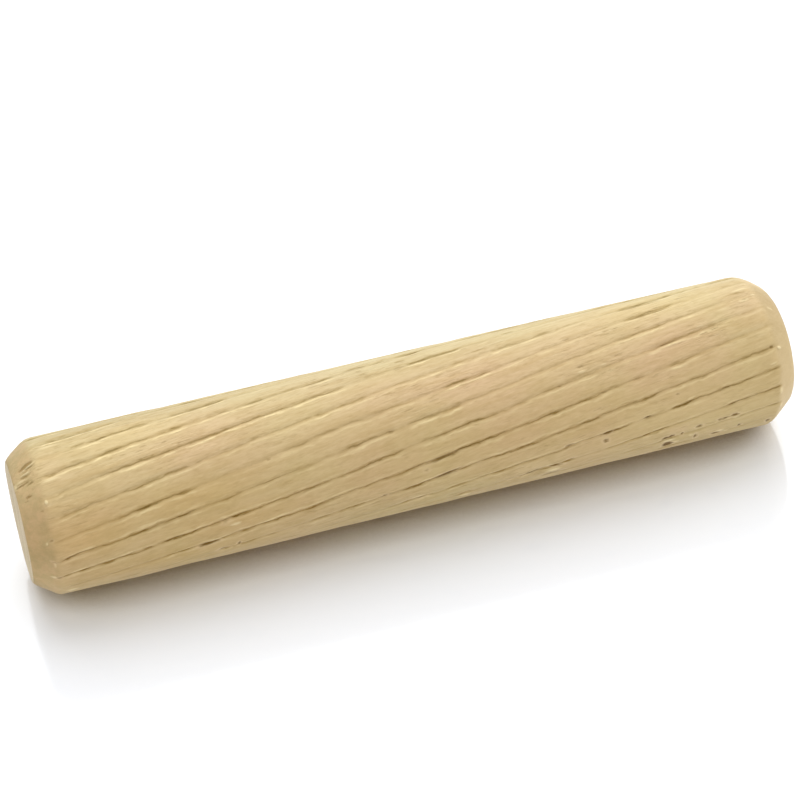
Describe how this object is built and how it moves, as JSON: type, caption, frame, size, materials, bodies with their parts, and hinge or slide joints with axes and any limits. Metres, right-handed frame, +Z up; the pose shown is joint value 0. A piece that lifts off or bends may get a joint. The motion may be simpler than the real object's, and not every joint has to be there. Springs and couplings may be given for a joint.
{
  "type": "dowel pin",
  "caption": "Solid beech dowel pin with fine left-hand spiral flutes along the shank and a chamfer at each end.",
  "frame": {"origin": "centre of the lower end face, where the pin stands", "axes": "+Z up the pin's own axis from the lower end face to the upper one; the pin is round, so X and Y are free, and the side at -Y is the one the picture shows"},
  "size_m": [0.01, 0.01, 0.05],
  "materials": {
    "beech": "satin"
  },
  "bodies": {
    "root": {"dowel_pin": "beech"}
  },
  "joints": []
}
